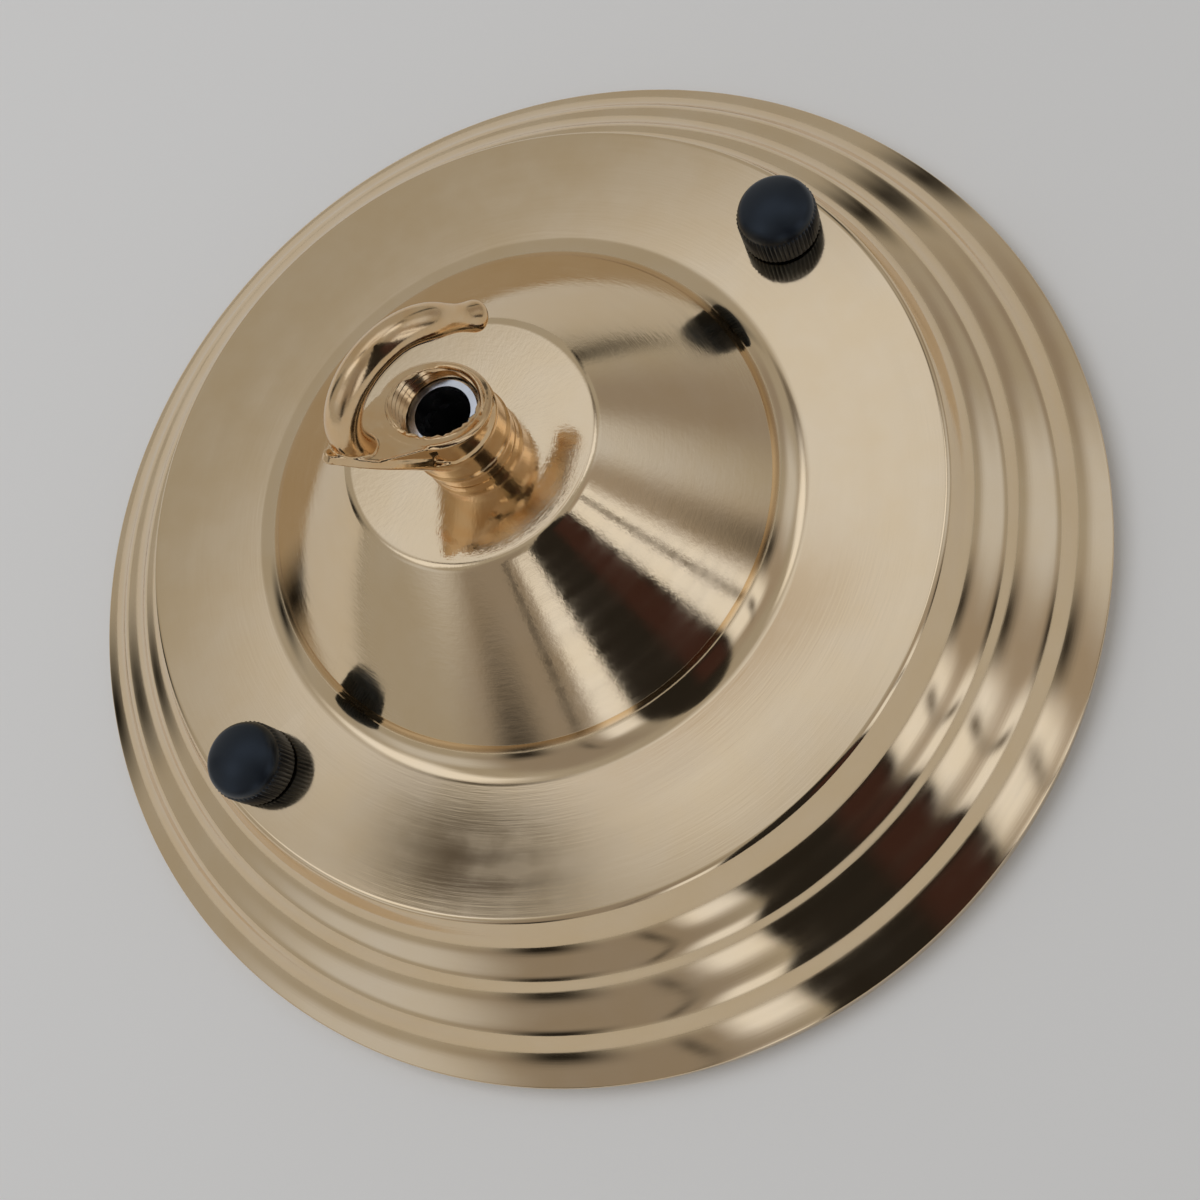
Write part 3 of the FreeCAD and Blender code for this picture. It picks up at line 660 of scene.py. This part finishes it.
def new_material(name, colour, metallic, roughness):
    """Material with its shader; returns the material, its node helper and the shader."""
    material = bpy.data.materials.new(name)
    material.use_nodes = True
    nodes = Nodes(material.node_tree)
    shader = material.node_tree.nodes["Principled BSDF"]
    shader.inputs["Base Color"].default_value = (*colour, 1)
    shader.inputs["Metallic"].default_value = metallic
    shader.inputs["Roughness"].default_value = roughness
    return material, nodes, shader


def raise_bumps(nodes, shader, height, strength, depth):
    """Gives the shader a bump of the given depth."""
    bump = nodes.add("ShaderNodeBump")
    bump.inputs["Strength"].default_value = strength
    bump.inputs["Distance"].default_value = depth
    nodes.feed(bump.inputs["Height"], height)
    nodes.feed(shader.inputs["Normal"], bump.outputs["Normal"])


def mixed_colour(nodes, share, first, second):
    """Colour between two, by a share that varies over the surface."""
    mix = nodes.add("ShaderNodeMix", data_type="RGBA")
    nodes.feed(mix.inputs["Factor"], share)
    nodes.feed(mix.inputs[6], (*first, 1))
    nodes.feed(mix.inputs[7], (*second, 1))
    return mix.outputs[2]


turning_marks = turning_marks_group()
fine_grain = fine_grain_group()


def polished_gold():
    """Plated and polished sheet of the canopy, with coarser turning marks on the cone."""
    material, nodes, shader = new_material("polished_gold", CANOPY_GOLD, metallic=1.0, roughness=0.1)
    marks = use_group(nodes, turning_marks)
    ridges = use_group(nodes, turning_marks, Lines_per_mm=0.9, Strokes_per_turn=22.0)
    grain = use_group(nodes, fine_grain)
    place = nodes.add("ShaderNodeSeparateXYZ")
    nodes.feed(place.inputs[0], millimetres(nodes))
    on_cone = nodes.spread(place.outputs["Z"], CONE_MARKS_FROM, CONE_MARKS_FULL, 0.0, CONE_MARKS_DEPTH)
    haze = nodes.math("MULTIPLY", grain["Clouds"], marks["Patches"])
    nodes.feed(shader.inputs["Roughness"], nodes.spread(haze, 0.12, 0.4, 0.05, 0.15))
    tone = nodes.spread(grain["Clouds"], 0.35, 0.65, 0.0, 1.0)
    colour = mixed_colour(nodes, tone, CANOPY_GOLD_DEEP, CANOPY_GOLD_PALE)
    nodes.feed(shader.inputs["Base Color"], colour)
    height = nodes.math("ADD", marks["Height"], nodes.math("MULTIPLY", on_cone, ridges["Height"]))
    raise_bumps(nodes, shader, height, strength=0.4, depth=0.012 * MM)
    return material


def cast_gold():
    """Plated casting of the hook, warmer than the canopy."""
    material, nodes, shader = new_material("cast_gold", HOOK_GOLD, metallic=1.0, roughness=0.14)
    grain = use_group(nodes, fine_grain, Grains_per_mm=2.2, Clouds_per_mm=0.3)
    nodes.feed(shader.inputs["Roughness"], nodes.spread(grain["Clouds"], 0.3, 0.7, 0.08, 0.2))
    tone = nodes.spread(grain["Clouds"], 0.35, 0.65, 0.0, 1.0)
    colour = mixed_colour(nodes, tone, HOOK_GOLD_DEEP, HOOK_GOLD_PALE)
    nodes.feed(shader.inputs["Base Color"], colour)
    raise_bumps(nodes, shader, grain["Grain"], strength=0.25, depth=0.03 * MM)
    return material


def black_metal():
    """Satin black coat of the thumb nuts, with a bluish sheen."""
    material, nodes, shader = new_material("black_metal", NUT_BLACK, metallic=0.0, roughness=0.36)
    shader.inputs["Specular Tint"].default_value = (*NUT_SHEEN, 1)
    grain = use_group(nodes, fine_grain, Grains_per_mm=9.0, Clouds_per_mm=0.5)
    nodes.feed(shader.inputs["Roughness"], nodes.spread(grain["Grain"], 0.3, 0.7, 0.3, 0.42))
    raise_bumps(nodes, shader, grain["Grain"], strength=0.3, depth=0.01 * MM)
    return material


def plain_metal(name, colour, low, high):
    """Metal of the hidden pieces, of a roughness between two limits."""
    material, nodes, shader = new_material(name, colour, metallic=1.0, roughness=low)
    grain = use_group(nodes, fine_grain, Grains_per_mm=5.0, Clouds_per_mm=0.4)
    nodes.feed(shader.inputs["Roughness"], nodes.spread(grain["Clouds"], 0.3, 0.7, low, high))
    raise_bumps(nodes, shader, grain["Grain"], strength=0.2, depth=0.01 * MM)
    return material


def finish_piece(piece, material):
    """Makes the material the piece's only one."""
    piece.data.materials.clear()
    piece.data.materials.append(material)


# Studio: a pale floor, a plain surround, a key lamp, and panels that the polished pieces mirror
FLOOR_GREY = (0.78, 0.78, 0.79)
FLOOR_REACH = 4.0
SURROUND = (0.39, 0.385, 0.37)
KEY_SIZE = 1.0
KEY_POWER = 5.8
KEY_PLACE = (-0.35, 0.5, 1.1)
# Each panel hangs a little nearer than the one before, and so covers it
PANEL_DISTANCE = 1.2
PANEL_GAP = 0.03
PANEL_CELLS = 16
WARM = (1.0, 0.93, 0.88)
COOL = (0.95, 1.01, 1.14)
ROSY = (1.0, 0.5, 0.45)
# Azimuth from and to, elevation from and to, in degrees, level, soft edge as a share, and tone
PANELS = {
    "ceiling_back": (-5, 150, 47, 90, 0.76, 0.33, COOL),
    "ceiling_dip": (40, 125, 69, 78, 0.5, 0.5, WARM),
    "ceiling_shade": (113, 145, 61, 76, 0.1, 0.45, WARM),
    "post_back": (121, 143, -14, 42, 0.0, 0.5, WARM),
    "side_shade": (-6, 28, 42, 64, 0.17, 0.35, WARM),
    "post_side": (15, 31, -14, 46, 0.02, 0.5, WARM),
    "side_wall": (-28, 20, -5, 30, 0.3, 0.4, WARM),
    "wall_left": (188, 248, -5, 82, 0.29, 0.25, WARM),
    "wall_right": (280, 330, -5, 72, 0.36, 0.25, WARM),
    "softbox_left_high": (132, 180, 40, 74, 0.95, 0.3, COOL),
    "softbox_left_low": (154, 206, 12, 46, 0.6, 0.4, COOL),
    "softbox_right_high": (333, 375, 50, 82, 1.0, 0.3, COOL),
    "softbox_right_low": (314, 356, 10, 58, 0.62, 0.4, COOL),
    "strip_left": (232, 250, -6, 46, 0.9, 0.35, COOL),
    "strip_right": (279, 309, -6, 50, 0.9, 0.3, COOL),
    "patch_left": (200, 222, -16, 30, 0.02, 0.45, WARM),
    "patch_right": (301, 324, -18, 32, 0.04, 0.5, WARM),
    "pole_left": (226, 231, -5, 60, 0.1, 0.5, WARM),
    "pole_right": (293, 299, -5, 60, 0.15, 0.5, WARM),
    "dark_flag": (246, 285, -6, 88, 0.02, 0.07, WARM),
    "rosy_flag": (266, 284, -4, 60, 0.045, 0.3, ROSY),
}


def panel(name, distance, azimuths, elevations, level, soft, tone):
    """Curved soft-edged panel that only shows in what the polished pieces mirror."""
    vertices, faces, places = [], [], []
    for row in range(PANEL_CELLS + 1):
        elevation = math.radians(elevations[0] + (elevations[1] - elevations[0]) * row / PANEL_CELLS)
        for column in range(PANEL_CELLS + 1):
            azimuth = math.radians(azimuths[0] + (azimuths[1] - azimuths[0]) * column / PANEL_CELLS)
            vertices.append((distance * math.cos(elevation) * math.cos(azimuth),
                             distance * math.cos(elevation) * math.sin(azimuth),
                             distance * math.sin(elevation)))
            places.append((column / PANEL_CELLS, row / PANEL_CELLS))
    for row in range(PANEL_CELLS):
        for column in range(PANEL_CELLS):
            first = row * (PANEL_CELLS + 1) + column
            above = first + PANEL_CELLS + 1
            faces.append((first, first + 1, above + 1, above))
    mesh = bpy.data.meshes.new(name)
    mesh.from_pydata(vertices, [], faces)
    across = mesh.uv_layers.new(name="across")
    for loop in mesh.loops:
        across.data[loop.index].uv = places[loop.vertex_index]
    piece = add_object(name, mesh)
    piece.visible_camera = False
    piece.visible_diffuse = False
    piece.visible_shadow = False
    finish_piece(piece, panel_material(name, level, soft, tone))


def panel_material(name, level, soft, tone):
    """Even glow that fades out towards the edges of its panel."""
    material = bpy.data.materials.new(name)
    material.use_nodes = True
    nodes = Nodes(material.node_tree)
    nodes.tree.nodes.clear()
    place = nodes.add("ShaderNodeTexCoord")
    apart = nodes.add("ShaderNodeSeparateXYZ")
    nodes.feed(apart.inputs[0], place.outputs["UV"])
    fades = []
    for share in (apart.outputs["X"], apart.outputs["Y"]):
        to_edge = nodes.math("MINIMUM", share, nodes.math("SUBTRACT", 1.0, share))
        fade = nodes.add("ShaderNodeMapRange", interpolation_type="SMOOTHSTEP")
        nodes.feed(fade.inputs["Value"], to_edge)
        nodes.feed(fade.inputs["From Max"], soft)
        fades.append(fade.outputs["Result"])
    clear = nodes.add("ShaderNodeBsdfTransparent")
    glow = nodes.add("ShaderNodeEmission")
    glow.inputs["Color"].default_value = (*tone, 1)
    glow.inputs["Strength"].default_value = level
    mix = nodes.add("ShaderNodeMixShader")
    nodes.feed(mix.inputs["Fac"], nodes.math("MULTIPLY", *fades))
    nodes.feed(mix.inputs[1], clear.outputs[0])
    nodes.feed(mix.inputs[2], glow.outputs[0])
    out = nodes.add("ShaderNodeOutputMaterial")
    nodes.feed(out.inputs["Surface"], mix.outputs[0])
    return material


def floor():
    """Plain matt floor on which the rim lies."""
    mesh = bpy.data.meshes.new("floor")
    corners = [(x * FLOOR_REACH, y * FLOOR_REACH, 0) for x, y in ((-1, -1), (1, -1), (1, 1), (-1, 1))]
    mesh.from_pydata(corners, [], [(0, 1, 2, 3)])
    piece = add_object("floor", mesh)
    finish_piece(piece, new_material("pale_floor", FLOOR_GREY, metallic=0.0, roughness=0.9)[0])


def key_light():
    """Large soft lamp that lights the matt surfaces and isn't mirrored."""
    lamp = bpy.data.lights.new("key", "AREA")
    lamp.size = KEY_SIZE
    lamp.energy = KEY_POWER
    holder = add_object("key", lamp)
    holder.location = KEY_PLACE
    holder.rotation_mode = "QUATERNION"
    holder.rotation_quaternion = (-holder.location).to_track_quat("-Z", "Y")
    holder.visible_glossy = False


def surround():
    """Even light from all round."""
    world = bpy.data.worlds.new("surround")
    world.use_nodes = True
    world.node_tree.nodes["Background"].inputs["Color"].default_value = (*SURROUND, 1)
    bpy.context.scene.world = world


def camera():
    """Camera at the photo's angle."""
    lens = bpy.data.cameras.new("camera")
    lens.lens = CAMERA_LENS
    lens.sensor_width = CAMERA_SENSOR
    lens.clip_start = CAMERA_NEAREST
    holder = add_object("camera", lens)
    back = CAMERA_RIGHT.cross(CAMERA_UP)
    axes = Matrix((CAMERA_RIGHT, CAMERA_UP, back)).transposed()
    holder.matrix_world = Matrix.Translation(CAMERA_PLACE) @ axes.to_4x4()
    bpy.context.scene.camera = holder


gold = polished_gold()
casting = cast_gold()
black = black_metal()
bright_zinc = plain_metal("plated_steel", BRIGHT_ZINC, low=0.18, high=0.32)
strap_zinc = plain_metal("strap_steel", DULL_ZINC, low=0.28, high=0.42)
brass = plain_metal("terminal_brass", EARTH_BRASS, low=0.2, high=0.35)

finish_piece(canopy(), gold)
for casting_piece in (cast_hook(), hook_thread(), mouth_lip()):
    finish_piece(casting_piece, casting)
for side_name, side in (("left", -1), ("right", 1)):
    finish_piece(thumb_nut(side_name, side), black)
for node_name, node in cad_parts.items():
    if node_name == "strap":
        finish_piece(node, strap_zinc)
    elif node_name.startswith("earth"):
        finish_piece(node, brass)
    else:
        finish_piece(node, bright_zinc)

for order, (panel_name, extents) in enumerate(PANELS.items()):
    panel(panel_name, PANEL_DISTANCE - PANEL_GAP * order, extents[0:2], extents[2:4], *extents[4:])
floor()
key_light()
surround()
camera()
bpy.context.scene.view_settings.view_transform = "Standard"
